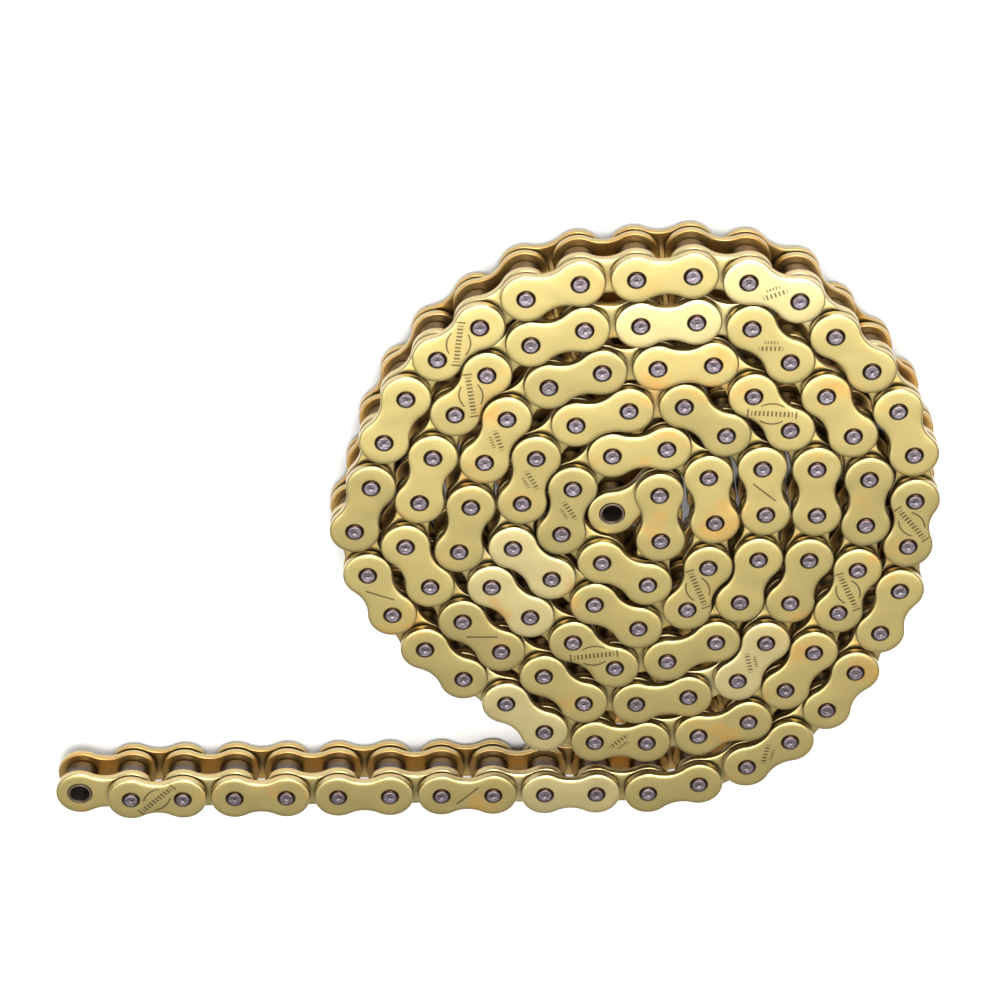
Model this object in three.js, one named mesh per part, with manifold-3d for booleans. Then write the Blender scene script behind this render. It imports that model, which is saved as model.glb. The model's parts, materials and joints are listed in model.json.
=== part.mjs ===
import * as THREE from 'three';
import { mergeVertices } from 'three/addons/utils/BufferGeometryUtils.js';
import Module from 'manifold-3d';

// A sealed roller chain for a motorcycle, wound into a flat coil with a straight tail.
// It lies on its side: every pin stands along Z, and the coil turns about Z.
// Even links are inner links: two plates pressed on two bushes, with a roller on each bush.
// Odd links are outer links: two plates pressed on two pins that turn in the bushes.
// Millimetres throughout.

const wasm = await Module();
wasm.setup();

// Chain sizes
const PITCH = 15.875;
const LINK_COUNT = 121;
const INNER_WIDTH = 7.94;
const ROLLER_DIAMETER = 10.16;
const BUSH_DIAMETER = 7.4;
const PIN_DIAMETER = 5.24;
const PLATE_HEIGHT = 14.65;
const PLATE_WAIST = 10.65;
const PLATE_THICKNESS = 2.4;
const SEAL_SPACE = 1.05;
const SEAL_DIAMETER = 9.9;
const HEAD_PROUD = 0.75;
const BUSH_PROUD = 0.3;

// Clearances
const RUNNING_FIT = 0.2;
const PRESS_FIT = 0.05;
const SIDE_PLAY = 0.2;
const COIL_CLEARANCE = 0.35;

// How the chain is laid. Bends are in degrees, clockwise seen from above, from the middle outwards.
const CORE_BENDS = [119, 15, 108, 10, 61, 34, 37, 46, 43, 14];
const WOUND_LINKS = 106;
const LEAVING_LINKS = 5;
const LEAVING_BEND = 12;
const LARGEST_BEND = 119;
const SMALLEST_BEND = -56;
const BEND_STEP = 1.5;

// Links modelled piece by piece, links of a single frame with loose rollers, and coil stretches
const TAIL_LINKS = 8;
const COIL_STRETCHES = 7;

// Facets
const FINE = { end: 8, waist: 3, bore: 16, pin: 16, seal: 16, roller: 18 };
const PLAIN = { end: 5, waist: 2, bore: 10, pin: 8, seal: 8, roller: 12 };
const COARSE = { end: 5, waist: 0, bore: 10, pin: 8, seal: 4, roller: 6 };

const MATERIALS = {
  plate: { color: 0xc8b060, roughness: 0.35, metalness: 0.9 },
  pin: { color: 0x9a94a0, roughness: 0.35, metalness: 0.9 },
  bush: { color: 0x4a4036, roughness: 0.45, metalness: 0.8 },
  roller: { color: 0x55524f, roughness: 0.4, metalness: 0.9 },
  seal: { color: 0x1d1a18, roughness: 0.7, metalness: 0.0 },
};

// Heights, from the floor up
const HEIGHTS = (() => {
  const outerLow = HEAD_PROUD;
  const innerLow = outerLow + PLATE_THICKNESS + SEAL_SPACE;
  const gapLow = innerLow + PLATE_THICKNESS;
  const innerHigh = gapLow + INNER_WIDTH;
  const outerHigh = innerHigh + PLATE_THICKNESS + SEAL_SPACE;
  const top = outerHigh + PLATE_THICKNESS + HEAD_PROUD;
  return { outerLow, innerLow, gapLow, innerHigh, outerHigh, top };
})();

const rad = THREE.MathUtils.degToRad;
const isInner = (index) => index % 2 === 0;

// A plate is two round ends joined by two hollow arcs, each tangent to both ends.
function plateShape(endRadius, halfWaist) {
  const half = PITCH / 2;
  const rise = half * half + halfWaist * halfWaist - endRadius * endRadius;
  const arcRadius = rise / (2 * (endRadius - halfWaist));
  return { endRadius, arcRadius, arcCentre: arcRadius + halfWaist };
}

// Distance from a point to the edge of a plate lying between two pins, negative inside it.
function distanceToPlate(shape, point, from, to) {
  const along = to.clone().sub(from).divideScalar(PITCH);
  const offset = point.clone().sub(from.clone().add(to).divideScalar(2));
  const x = Math.abs(offset.dot(along));
  const y = Math.abs(along.cross(offset));
  const besideWaist = (PITCH / 2) * (y - shape.arcCentre) + shape.arcCentre * x < 0;
  if (besideWaist) {
    return shape.arcRadius - Math.hypot(x, y - shape.arcCentre);
  }
  return Math.hypot(x - PITCH / 2, y) - shape.endRadius;
}

// Two plates can only meet where a round end of one reaches the edge of the other.
function platesClear(shape, from, to, otherFrom, otherTo) {
  const closest = Math.min(
    distanceToPlate(shape, from, otherFrom, otherTo),
    distanceToPlate(shape, to, otherFrom, otherTo),
    distanceToPlate(shape, otherFrom, from, to),
    distanceToPlate(shape, otherTo, from, to),
  );
  return closest >= shape.endRadius;
}

// The pin at a link's far end also carries the round end of a link of the other kind.
const endClear = (shape, end, otherFrom, otherTo) => (
  distanceToPlate(shape, end, otherFrom, otherTo) >= shape.endRadius
);

const stepFrom = (point, heading) => new THREE.Vector2(
  point.x + PITCH * Math.cos(rad(heading)),
  point.y + PITCH * Math.sin(rad(heading)),
);

// Swings the next link in from outside until it lies against links of its own kind.
function bendToRest(shape, points, heading) {
  const last = points.length - 1;
  const from = points[last];
  const fits = (bend) => {
    const to = stepFrom(from, heading - bend);
    for (let index = last - 2; index >= 0; index -= 1) {
      if (from.distanceTo(points[index]) > 5 * PITCH) continue;
      const sameKind = isInner(last) === isInner(index);
      if (sameKind && !platesClear(shape, from, to, points[index], points[index + 1])) return false;
      if (!endClear(shape, to, points[index], points[index + 1])) return false;
    }
    return true;
  };
  let bend = SMALLEST_BEND;
  while (bend <= LARGEST_BEND && !fits(bend)) bend += BEND_STEP;
  while (bend + BEND_STEP <= LARGEST_BEND && fits(bend + BEND_STEP)) bend += BEND_STEP;
  let tooFar = bend + BEND_STEP;
  for (let halving = 0; halving < 10; halving++) {
    const middle = (bend + tooFar) / 2;
    if (fits(middle)) bend = middle;
    else tooFar = middle;
  }
  return Math.min(bend, LARGEST_BEND);
}

// Every hinge point of the chain, from the bore in the middle to the bore at the tail's end,
// turned so that the tail runs straight towards -X.
function layChain() {
  const shape = plateShape((PLATE_HEIGHT + COIL_CLEARANCE) / 2, (PLATE_WAIST + COIL_CLEARANCE) / 2);
  let heading = 0;
  const points = [new THREE.Vector2(0, 0)];
  points.push(stepFrom(points[0], heading));
  const lay = (bend) => {
    heading -= bend;
    points.push(stepFrom(points[points.length - 1], heading));
  };
  const layAtMost = (bend) => lay(Math.min(bend, bendToRest(shape, points, heading)));
  for (const bend of CORE_BENDS) layAtMost(bend);
  while (points.length <= WOUND_LINKS) layAtMost(LARGEST_BEND);
  for (let link = 0; link < LEAVING_LINKS; link++) layAtMost(LEAVING_BEND);
  while (points.length <= LINK_COUNT) layAtMost(0);
  for (const point of points) point.rotateAround(points[0], rad(180 - heading));
  return points;
}

// Outline of a plate with its first pin at the origin and its second one pitch along X.
// With no facets for its waist, straight edges join the round ends at the waist's own width.
function plateOutline(facets) {
  const shape = plateShape(PLATE_HEIGHT / 2, PLATE_WAIST / 2);
  const straight = Math.PI - Math.asin(PLATE_WAIST / PLATE_HEIGHT);
  const endAngle = facets.waist ? Math.atan2(shape.arcCentre, -PITCH / 2) : straight;
  const waistAngle = Math.atan2(shape.arcCentre, PITCH / 2);
  const outline = [];
  const arc = (x, y, radius, start, sweep, steps, first, last) => {
    for (let step = first; step <= last; step++) {
      const angle = start + (sweep * step) / steps;
      outline.push(new THREE.Vector2(x + radius * Math.cos(angle), y + radius * Math.sin(angle)));
    }
  };
  const waistSweep = 2 * waistAngle - Math.PI;
  arc(PITCH, 0, shape.endRadius, -endAngle, 2 * endAngle, facets.end, 0, facets.end);
  arc(PITCH / 2, shape.arcCentre, shape.arcRadius, -waistAngle, waistSweep, facets.waist, 1, facets.waist - 1);
  arc(0, 0, shape.endRadius, Math.PI - endAngle, 2 * endAngle, facets.end, 0, facets.end);
  arc(PITCH / 2, -shape.arcCentre, shape.arcRadius, Math.PI - waistAngle, waistSweep, facets.waist, 1, facets.waist - 1);
  return outline;
}

function circle(x, radius, sides) {
  const points = [];
  for (let side = 0; side < sides; side++) {
    const angle = (2 * Math.PI * (side + 0.5)) / sides;
    points.push(new THREE.Vector2(x + radius * Math.cos(angle), radius * Math.sin(angle)));
  }
  return points;
}

// Upright prism with the given outline and holes, between two heights.
function prism(outline, low, high, holes = []) {
  const shape = new THREE.Shape(outline);
  for (const hole of holes) shape.holes.push(new THREE.Path(hole));
  const geometry = new THREE.ExtrudeGeometry(shape, { depth: high - low, bevelEnabled: false });
  geometry.translate(0, 0, low);
  return geometry;
}

const plate = (low, facets, holes) => (
  prism(plateOutline(facets), low, low + PLATE_THICKNESS, holes)
);
const rod = (x, radius, sides, low, high) => prism(circle(x, radius, sides), low, high);
const tube = (x, radius, bore, sides, low, high) => (
  prism(circle(x, radius, sides), low, high, [circle(x, bore, sides)])
);

// Puts a shape drawn along X from the origin onto the link that starts at this hinge point.
function placeOnLink(geometry, points, index) {
  const from = points[index];
  const to = points[index + 1];
  geometry.rotateZ(Math.atan2(to.y - from.y, to.x - from.x));
  geometry.translate(from.x, from.y, 0);
  return geometry;
}

function toSolid(geometry) {
  const plain = geometry.clone();
  plain.deleteAttribute('normal');
  plain.deleteAttribute('uv');
  const welded = mergeVertices(plain, 1e-4);
  return new wasm.Manifold(new wasm.Mesh({
    numProp: 3,
    vertProperties: new Float32Array(welded.attributes.position.array),
    triVerts: new Uint32Array(welded.index.array),
  }));
}

function fuse(geometries) {
  let solid = toSolid(geometries[0]);
  for (const geometry of geometries.slice(1)) solid = solid.add(toSolid(geometry));
  const mesh = solid.getMesh();
  const fused = new THREE.BufferGeometry();
  fused.setAttribute('position', new THREE.BufferAttribute(new Float32Array(mesh.vertProperties), 3));
  fused.setIndex(new THREE.BufferAttribute(new Uint32Array(mesh.triVerts), 1));
  return fused;
}

const points = layChain();
const group = new THREE.Group();
group.name = 'drive_chain';

function addPiece(name, material, geometry) {
  const faceted = geometry.index ? geometry.toNonIndexed() : geometry;
  faceted.computeVertexNormals();
  const mesh = new THREE.Mesh(faceted, new THREE.MeshStandardMaterial(MATERIALS[material]));
  mesh.name = name;
  group.add(mesh);
}

const PIN_RADIUS = PIN_DIAMETER / 2;
const BUSH_RADIUS = BUSH_DIAMETER / 2;
const ROLLER_RADIUS = ROLLER_DIAMETER / 2;
const SEAL_RADIUS = SEAL_DIAMETER / 2;
const BORE_RADIUS = PIN_RADIUS + RUNNING_FIT;
const ENDS = [0, PITCH];
const bushLow = HEIGHTS.innerLow - BUSH_PROUD;
const bushHigh = HEIGHTS.innerHigh + PLATE_THICKNESS + BUSH_PROUD;

function addRollers(name, index, facets) {
  ENDS.forEach((x, end) => {
    const low = HEIGHTS.gapLow + SIDE_PLAY;
    const high = HEIGHTS.innerHigh - SIDE_PLAY;
    const roller = tube(x, ROLLER_RADIUS, BUSH_RADIUS + RUNNING_FIT, facets.roller, low, high);
    addPiece(`${name}_roller_${end + 1}`, 'roller', placeOnLink(roller, points, index));
  });
}

// An inner link with every piece on its own.
function addInnerPieces(name, index) {
  const holes = ENDS.map((x) => circle(x, BUSH_RADIUS + PRESS_FIT, FINE.bore));
  const low = plate(HEIGHTS.innerLow, FINE, holes);
  const high = plate(HEIGHTS.innerHigh, FINE, holes);
  addPiece(`${name}_plate_low`, 'plate', placeOnLink(low, points, index));
  addPiece(`${name}_plate_high`, 'plate', placeOnLink(high, points, index));
  ENDS.forEach((x, end) => {
    const bush = tube(x, BUSH_RADIUS, BORE_RADIUS, FINE.bore, bushLow, bushHigh);
    addPiece(`${name}_bush_${end + 1}`, 'bush', placeOnLink(bush, points, index));
  });
  addRollers(name, index, FINE);
}

// An outer link with every piece on its own, and a seal on each pin inside each plate.
function addOuterPieces(name, index) {
  const holes = ENDS.map((x) => circle(x, PIN_RADIUS + PRESS_FIT, FINE.bore));
  const low = plate(HEIGHTS.outerLow, FINE, holes);
  const high = plate(HEIGHTS.outerHigh, FINE, holes);
  addPiece(`${name}_plate_low`, 'plate', placeOnLink(low, points, index));
  addPiece(`${name}_plate_high`, 'plate', placeOnLink(high, points, index));
  const sealSpaces = {
    low: HEIGHTS.outerLow + PLATE_THICKNESS,
    high: HEIGHTS.outerHigh - SEAL_SPACE,
  };
  ENDS.forEach((x, end) => {
    const pin = rod(x, PIN_RADIUS, FINE.bore, 0, HEIGHTS.top);
    addPiece(`${name}_pin_${end + 1}`, 'pin', placeOnLink(pin, points, index));
    for (const [side, start] of Object.entries(sealSpaces)) {
      const sealLow = start + SIDE_PLAY;
      const sealHigh = start + SEAL_SPACE - SIDE_PLAY;
      const seal = tube(x, SEAL_RADIUS, BUSH_RADIUS + RUNNING_FIT, FINE.bore, sealLow, sealHigh);
      addPiece(`${name}_seal_${end + 1}_${side}`, 'seal', placeOnLink(seal, points, index));
    }
  });
}

// A bored sleeve between the inner plates, its ends buried in them.
function betweenPlates(x, radius, facets) {
  const low = HEIGHTS.gapLow - PLATE_THICKNESS / 2;
  const high = HEIGHTS.innerHigh + PLATE_THICKNESS / 2;
  return tube(x, radius, BORE_RADIUS, facets.bore, low, high);
}

// The plates and bushes of an inner link as one piece.
function innerFrame(index, facets) {
  const bores = ENDS.map((x) => circle(x, BORE_RADIUS, facets.bore));
  const pieces = [plate(HEIGHTS.innerLow, facets, bores), plate(HEIGHTS.innerHigh, facets, bores)];
  for (const x of ENDS) pieces.push(betweenPlates(x, BUSH_RADIUS, facets));
  return pieces.map((piece) => placeOnLink(piece, points, index));
}

// The plates, pins and seals of an outer link as one piece.
function outerFrame(index, facets) {
  const pieces = [plate(HEIGHTS.outerLow, facets), plate(HEIGHTS.outerHigh, facets)];
  for (const x of ENDS) pieces.push(...pinAndSeals(x, facets));
  return pieces.map((piece) => placeOnLink(piece, points, index));
}

// A pin from head to head, and the two seals it carries against its own plates.
function pinAndSeals(x, facets) {
  const middleLow = HEIGHTS.outerLow + PLATE_THICKNESS / 2;
  const middleHigh = HEIGHTS.outerHigh + PLATE_THICKNESS / 2;
  const sealLow = HEIGHTS.innerLow - SIDE_PLAY;
  const sealHigh = HEIGHTS.innerHigh + PLATE_THICKNESS + SIDE_PLAY;
  return [
    rod(x, PIN_RADIUS, facets.pin, 0, HEIGHTS.top),
    rod(x, SEAL_RADIUS, facets.seal, middleLow, sealLow),
    rod(x, SEAL_RADIUS, facets.seal, sealHigh, middleHigh),
  ];
}

// Pin, bush, roller and seals of a hinge inside the coil as solid rods from plate to plate.
function hingePosts(x, facets) {
  const half = PLATE_THICKNESS / 2;
  return [
    rod(x, SEAL_RADIUS, facets.seal, HEIGHTS.outerLow + half, HEIGHTS.innerLow + half),
    rod(x, ROLLER_RADIUS, facets.roller, HEIGHTS.innerLow + half, HEIGHTS.innerHigh + half),
    rod(x, SEAL_RADIUS, facets.seal, HEIGHTS.innerHigh + half, HEIGHTS.outerHigh + half),
  ];
}

// A stretch of coiled links as one piece, from an outer link to an inner link. Its first pin
// turns in the last bush of the stretch inside it, and its own last bush is bored for the next.
function coilStretch(first, last) {
  const pieces = [];
  for (let index = first; index <= last; index++) {
    const bores = index === last ? [circle(PITCH, BORE_RADIUS, COARSE.bore)] : [];
    const low = isInner(index) ? HEIGHTS.innerLow : HEIGHTS.outerLow;
    const high = isInner(index) ? HEIGHTS.innerHigh : HEIGHTS.outerHigh;
    const link = [plate(low, COARSE, bores), plate(high, COARSE, bores)];
    if (index === first) link.push(...pinAndSeals(0, COARSE));
    if (index === last) link.push(betweenPlates(PITCH, ROLLER_RADIUS, COARSE));
    else link.push(...hingePosts(PITCH, COARSE));
    pieces.push(...link.map((piece) => placeOnLink(piece, points, index)));
  }
  return fuse(pieces);
}

// The end link in the middle of the coil
addPiece('core_link_frame', 'plate', fuse(innerFrame(0, PLAIN)));
addRollers('core_link', 0, PLAIN);

// The coil
const lastCoiled = LINK_COUNT - 1 - TAIL_LINKS;
const stretchLength = Math.ceil(lastCoiled / COIL_STRETCHES / 2) * 2;
for (let stretch = 0; stretch < COIL_STRETCHES; stretch++) {
  const first = 1 + stretch * stretchLength;
  const last = Math.min(first + stretchLength - 1, lastCoiled);
  addPiece(`coil_stretch_${stretch + 1}`, 'plate', coilStretch(first, last));
}

// The tail, numbered from its free end
for (let number = TAIL_LINKS; number >= 1; number--) {
  const index = LINK_COUNT - number;
  const name = `tail_link_${number}`;
  if (number === 1) {
    addInnerPieces(name, index);
  } else if (number === 2) {
    addOuterPieces(name, index);
  } else if (isInner(index)) {
    addPiece(`${name}_frame`, 'plate', fuse(innerFrame(index, PLAIN)));
    addRollers(name, index, PLAIN);
  } else {
    addPiece(`${name}_frame`, 'plate', fuse(outerFrame(index, PLAIN)));
  }
}

// The origin is under the middle of the whole chain.
const bounds = new THREE.Box3().setFromObject(group);
const middle = bounds.getCenter(new THREE.Vector3());
for (const mesh of group.children) mesh.geometry.translate(-middle.x, -middle.y, -bounds.min.z);

export default group;
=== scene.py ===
"""A sealed motorcycle drive chain, wound into a flat coil with a straight tail.

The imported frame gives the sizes, the heights and the moving bodies. This script lays the chain's
links by the same rule as the frame, and puts a finished plate, pin, bush, roller or seal on each.
"""

import json
import math

import bmesh
import bpy
from bpy.props import FloatProperty, FloatVectorProperty, PointerProperty
from mathutils import Matrix, Vector


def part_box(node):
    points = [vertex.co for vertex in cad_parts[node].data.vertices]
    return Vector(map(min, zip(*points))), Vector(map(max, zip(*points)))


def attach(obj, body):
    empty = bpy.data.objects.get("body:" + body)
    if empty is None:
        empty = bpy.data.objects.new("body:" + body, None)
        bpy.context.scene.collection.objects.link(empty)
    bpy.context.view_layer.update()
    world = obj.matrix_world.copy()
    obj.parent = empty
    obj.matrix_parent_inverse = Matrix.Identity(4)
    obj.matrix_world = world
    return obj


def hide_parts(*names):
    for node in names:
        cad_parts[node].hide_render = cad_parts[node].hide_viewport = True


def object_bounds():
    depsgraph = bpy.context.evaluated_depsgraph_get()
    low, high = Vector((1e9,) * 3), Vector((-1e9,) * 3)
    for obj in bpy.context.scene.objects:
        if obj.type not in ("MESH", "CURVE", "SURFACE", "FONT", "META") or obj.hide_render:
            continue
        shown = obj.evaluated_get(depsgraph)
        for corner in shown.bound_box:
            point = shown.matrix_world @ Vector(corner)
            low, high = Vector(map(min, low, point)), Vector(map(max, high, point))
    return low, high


bl_info = {
    "name": "Drive Chain",
    "version": (1, 0, 0),
    "blender": (4, 5, 0),
    "location": "View3D > Sidebar > Drive Chain",
    "description": "Builds the plates, pins, bushes, rollers and seals of a coiled drive chain",
    "category": "Add Mesh",
}

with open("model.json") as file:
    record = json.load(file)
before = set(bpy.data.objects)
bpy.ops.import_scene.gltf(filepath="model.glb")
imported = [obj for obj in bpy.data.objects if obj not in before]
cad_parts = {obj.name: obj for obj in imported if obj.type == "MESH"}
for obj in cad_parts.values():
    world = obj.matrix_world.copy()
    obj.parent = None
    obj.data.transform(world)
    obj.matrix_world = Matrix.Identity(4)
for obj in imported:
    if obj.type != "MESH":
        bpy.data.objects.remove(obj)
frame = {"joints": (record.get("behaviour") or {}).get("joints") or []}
CAD_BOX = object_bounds()
MM = 0.001

# How the links follow each other, from the middle of the coil to the end of the tail. Of the
# tail's links, the last ones (LOOSE_LINKS) are built piece by piece.
LINK_COUNT = 121
STRETCHES = 7
STRETCH_LINKS = 16
TAIL_LINKS = 8
LOOSE_LINKS = 2

# Bends between links, clockwise in degrees: those of the core, then links wound against the coil
# up to WOUND_LINKS, then those where the tail leaves.
CORE_BENDS = (119, 15, 108, 10, 61, 34, 37, 46, 43, 14)
WOUND_LINKS = 106
LEAVING_LINKS = 5
LEAVING_BEND = 12

# The search for the bend at which a link comes to rest. Links more than NEAR_PITCHES off can't
# touch it.
LARGEST_BEND = 119
SMALLEST_BEND = -56
BEND_STEP = 1.5
HALVINGS = 10
NEAR_PITCHES = 5

# Facets of the finished pieces
END_STEPS = 26
WAIST_STEPS = 10
HOLE_STEPS = 32
ROUND_STEPS = 40
SEAL_STEPS = 32
CORNER_STEPS = 4
OUTER_EDGE_STEPS = 4
INNER_EDGE_STEPS = 3
SHARP_ANGLE = math.radians(38)

# Round a plate's hole: the width of the margin over which the recess's painted shade fades out,
# then the width and depth of the recess
BUSH_RECESS = (0.25 * MM, 0.12 * MM, 0.1 * MM)
PIN_RECESS = (0.3 * MM, 0.12 * MM, 0.16 * MM)

# How much wider than its bush or pin a hole is drawn all round, and its chamfer on the inside
HOLE_GAP = 0.02 * MM
HOLE_CHAMFER = 0.1 * MM

# Where the slope inside a plate's rounded edge has its knee, as shares of its width and depth
CROWN_KNEE = (0.45, 0.35)

# Corners and mouths of the tubes
BUSH_ROUNDING, BUSH_MOUTH = 0.15 * MM, 0.35 * MM
ROLLER_ROUNDING, ROLLER_MOUTH = 0.55 * MM, 0.25 * MM

# Half of a riveted pin end's section, from the middle out: share of the radius, depth as a share
# of how far the pin stands proud, and how much painted shade the chamfer gets
PIN_END = (
    (0.0, 0.20, 0.0),
    (0.10, 0.18, 0.0),
    (0.18, 0.08, 0.0),
    (0.30, 0.05, 0.0),
    (0.62, 0.01, 0.0),
    (0.72, 0.0, 0.05),
    (0.78, 0.05, 0.45),
    (0.84, 0.18, 0.9),
    (0.92, 0.42, 1.0),
    (0.985, 0.62, 1.0),
    (1.0, 0.95, 1.0),
)

# Section of a seal, as shares of half its width and half its height, and how far the plates
# squeeze it on each side
SEAL_LOBES = (
    (-1.0, 0.55), (-0.72, 1.0), (-0.35, 0.85), (0.0, 0.6), (0.35, 0.85), (0.72, 1.0),
    (1.0, 0.55), (0.78, 0.0),
    (1.0, -0.55), (0.72, -1.0), (0.35, -0.85), (0.0, -0.6), (-0.35, -0.85), (-0.72, -1.0),
    (-1.0, -0.55), (-0.78, 0.0),
)
SEAL_SQUEEZE = 0.12 * MM

# What the meshes tell the finishes at each point: rims (painted highlight on plates, painted shade
# on pin chamfers, rubbed corners on bushes), rings round bores (painted shade), faces that face in
# (a painted warm reflection on plates), and the mark that is punched in a plate, with the point's
# place along and across the mark in millimetres
MESH_LAYERS = ("rim", "bore", "inward", "mark", "mark_along", "mark_across")

# Every sixth link has a plain mark in its outer plates. The marks repeat after MARK_CYCLE links
# and lean by MARK_LEAN degrees. SAME_MARK is how near a number must be to a mark's to mean it.
ARCS_MARK, ROWS_MARK, LINE_MARK = 1, 2, 3
MARK_CYCLE = 30
MARKS = {5: ROWS_MARK, 11: ARCS_MARK, 17: ROWS_MARK, 23: LINE_MARK, 29: ARCS_MARK}
MARK_LEAN = 43
SAME_MARK = 0.4

# How near another surface must come to darken a corner with painted shade
CREVICE_REACH = 5.0 * MM

# The stage
FLOOR_CELLS = 8
FLOOR_GAP = 0.05 * MM
ROOM_COLOUR = (1.0, 0.975, 0.93, 1.0)
TOP_LAMP_SIZE, TOP_LAMP_PLACE = 1.8, (0.0, 0.09, 2.0)
SIDE_LAMP_SIZE, SIDE_LAMP_PLACE = 1.0, (0.3, 1.6, 1.0)
CLIP_START, CLIP_END = 0.01, 50.0


def joint_place(name):
    """Where a joint of the frame is."""
    found = next(joint for joint in frame["joints"] if joint["name"] == name)
    return Vector(found["pos_m"])


def low_of(node):
    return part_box(node)[0].z


def high_of(node):
    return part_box(node)[1].z


def diameter_of(node):
    low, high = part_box(node)
    return max(high.x - low.x, high.y - low.y)


LAST_HINGE = joint_place("tail_link_1_hinge")
FIRST_TAIL_HINGE = joint_place("tail_link_2_hinge")


# ---------------------------------------------------------------- sizes and colours


class ChainSizes(bpy.types.PropertyGroup):
    """Sizes of the chain's pieces"""

    pitch: FloatProperty(
        name="Pitch",
        description="Distance between neighbouring pins",
        default=(LAST_HINGE - FIRST_TAIL_HINGE).length,
        unit="LENGTH",
    )
    plate_height: FloatProperty(
        name="Plate height",
        description="Height of a side plate over its round ends",
        default=14.65 * MM,
        unit="LENGTH",
    )
    plate_waist: FloatProperty(
        name="Plate waist",
        description="Height of a side plate at its waist",
        default=10.65 * MM,
        unit="LENGTH",
    )
    coil_clearance: FloatProperty(
        name="Coil clearance",
        description="Gap between plates that lie side by side in the coil",
        default=0.35 * MM,
        unit="LENGTH",
    )
    outer_rounding: FloatProperty(
        name="Outer edge rounding",
        description="Rounding of a plate's edge on the side that faces out",
        default=0.5 * MM,
        unit="LENGTH",
    )
    inner_rounding: FloatProperty(
        name="Inner edge rounding",
        description="Rounding of a plate's edge on the side that faces in",
        default=0.25 * MM,
        unit="LENGTH",
    )
    crown_width: FloatProperty(
        name="Crown width",
        description="Width of the shallow slope inside a plate's rounded edge",
        default=1.3 * MM,
        unit="LENGTH",
    )
    crown_drop: FloatProperty(
        name="Crown drop",
        description="Depth of the shallow slope inside a plate's rounded edge",
        default=0.05 * MM,
        unit="LENGTH",
    )
    pin_diameter: FloatProperty(
        name="Pin diameter",
        description="Diameter of a pin",
        default=diameter_of("tail_link_2_pin_1"),
        unit="LENGTH",
    )
    bush_diameter: FloatProperty(
        name="Bush diameter",
        description="Outside diameter of a bush",
        default=diameter_of("tail_link_1_bush_1"),
        unit="LENGTH",
    )
    roller_diameter: FloatProperty(
        name="Roller diameter",
        description="Outside diameter of a roller",
        default=diameter_of("tail_link_1_roller_1"),
        unit="LENGTH",
    )
    seal_diameter: FloatProperty(
        name="Seal diameter",
        description="Outside diameter of a sealing ring",
        default=diameter_of("tail_link_2_seal_1_low"),
        unit="LENGTH",
    )
    running_fit: FloatProperty(
        name="Running fit",
        description="Gap between a piece and the pin or bush that it turns on",
        default=0.2 * MM,
        unit="LENGTH",
    )


class ChainFinishes(bpy.types.PropertyGroup):
    """Colours of the chain's finishes"""

    gold: FloatVectorProperty(
        name="Gold plating",
        description="Colour of the plates' satin gold plating",
        default=(0.463, 0.372, 0.139),
        subtype="COLOR",
    )
    # This colour also paints the highlight on the plates' rounded rims and lightens some plates as
    # a painted reflection
    pale_gold_and_highlight: FloatVectorProperty(
        name="Pale gold",
        description="Colour of the lightest plates and of rubbed edges",
        default=(0.64, 0.545, 0.29),
        subtype="COLOR",
    )
    # This colour also paints the warm reflection of gold on gold on the faces that face in
    tarnish_and_reflection: FloatVectorProperty(
        name="Tarnish",
        description="Colour of the warm patches on the plating",
        default=(0.56, 0.30, 0.07),
        subtype="COLOR",
    )
    # Besides a real oily film on bushes and rollers and the dark fill of the punched marks, this
    # colour paints the shade in corners and seams, in the recesses round the plates' holes and on
    # the pins' chamfers
    oil_and_shade: FloatVectorProperty(
        name="Oil and grime",
        description="Colour of the dark film round pins and in corners",
        default=(0.050, 0.024, 0.009),
        subtype="COLOR",
    )
    pin: FloatVectorProperty(
        name="Pin steel",
        description="Colour of the pins' ground ends",
        default=(0.21, 0.18, 0.203),
        subtype="COLOR",
    )
    pin_smear: FloatVectorProperty(
        name="Pin smear",
        description="Colour of the smears on the pins' ends",
        default=(0.12, 0.09, 0.095),
        subtype="COLOR",
    )
    bush: FloatVectorProperty(
        name="Bush steel",
        description="Colour of the bushes",
        default=(0.085, 0.066, 0.05),
        subtype="COLOR",
    )
    worn_bush: FloatVectorProperty(
        name="Worn bush steel",
        description="Colour of the bushes' rubbed corners",
        default=(0.42, 0.32, 0.22),
        subtype="COLOR",
    )
    roller: FloatVectorProperty(
        name="Roller steel",
        description="Colour of the rollers",
        default=(0.125, 0.112, 0.112),
        subtype="COLOR",
    )
    seal: FloatVectorProperty(
        name="Seal rubber",
        description="Colour of the sealing rings",
        default=(0.02, 0.016, 0.013),
        subtype="COLOR",
    )


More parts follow.
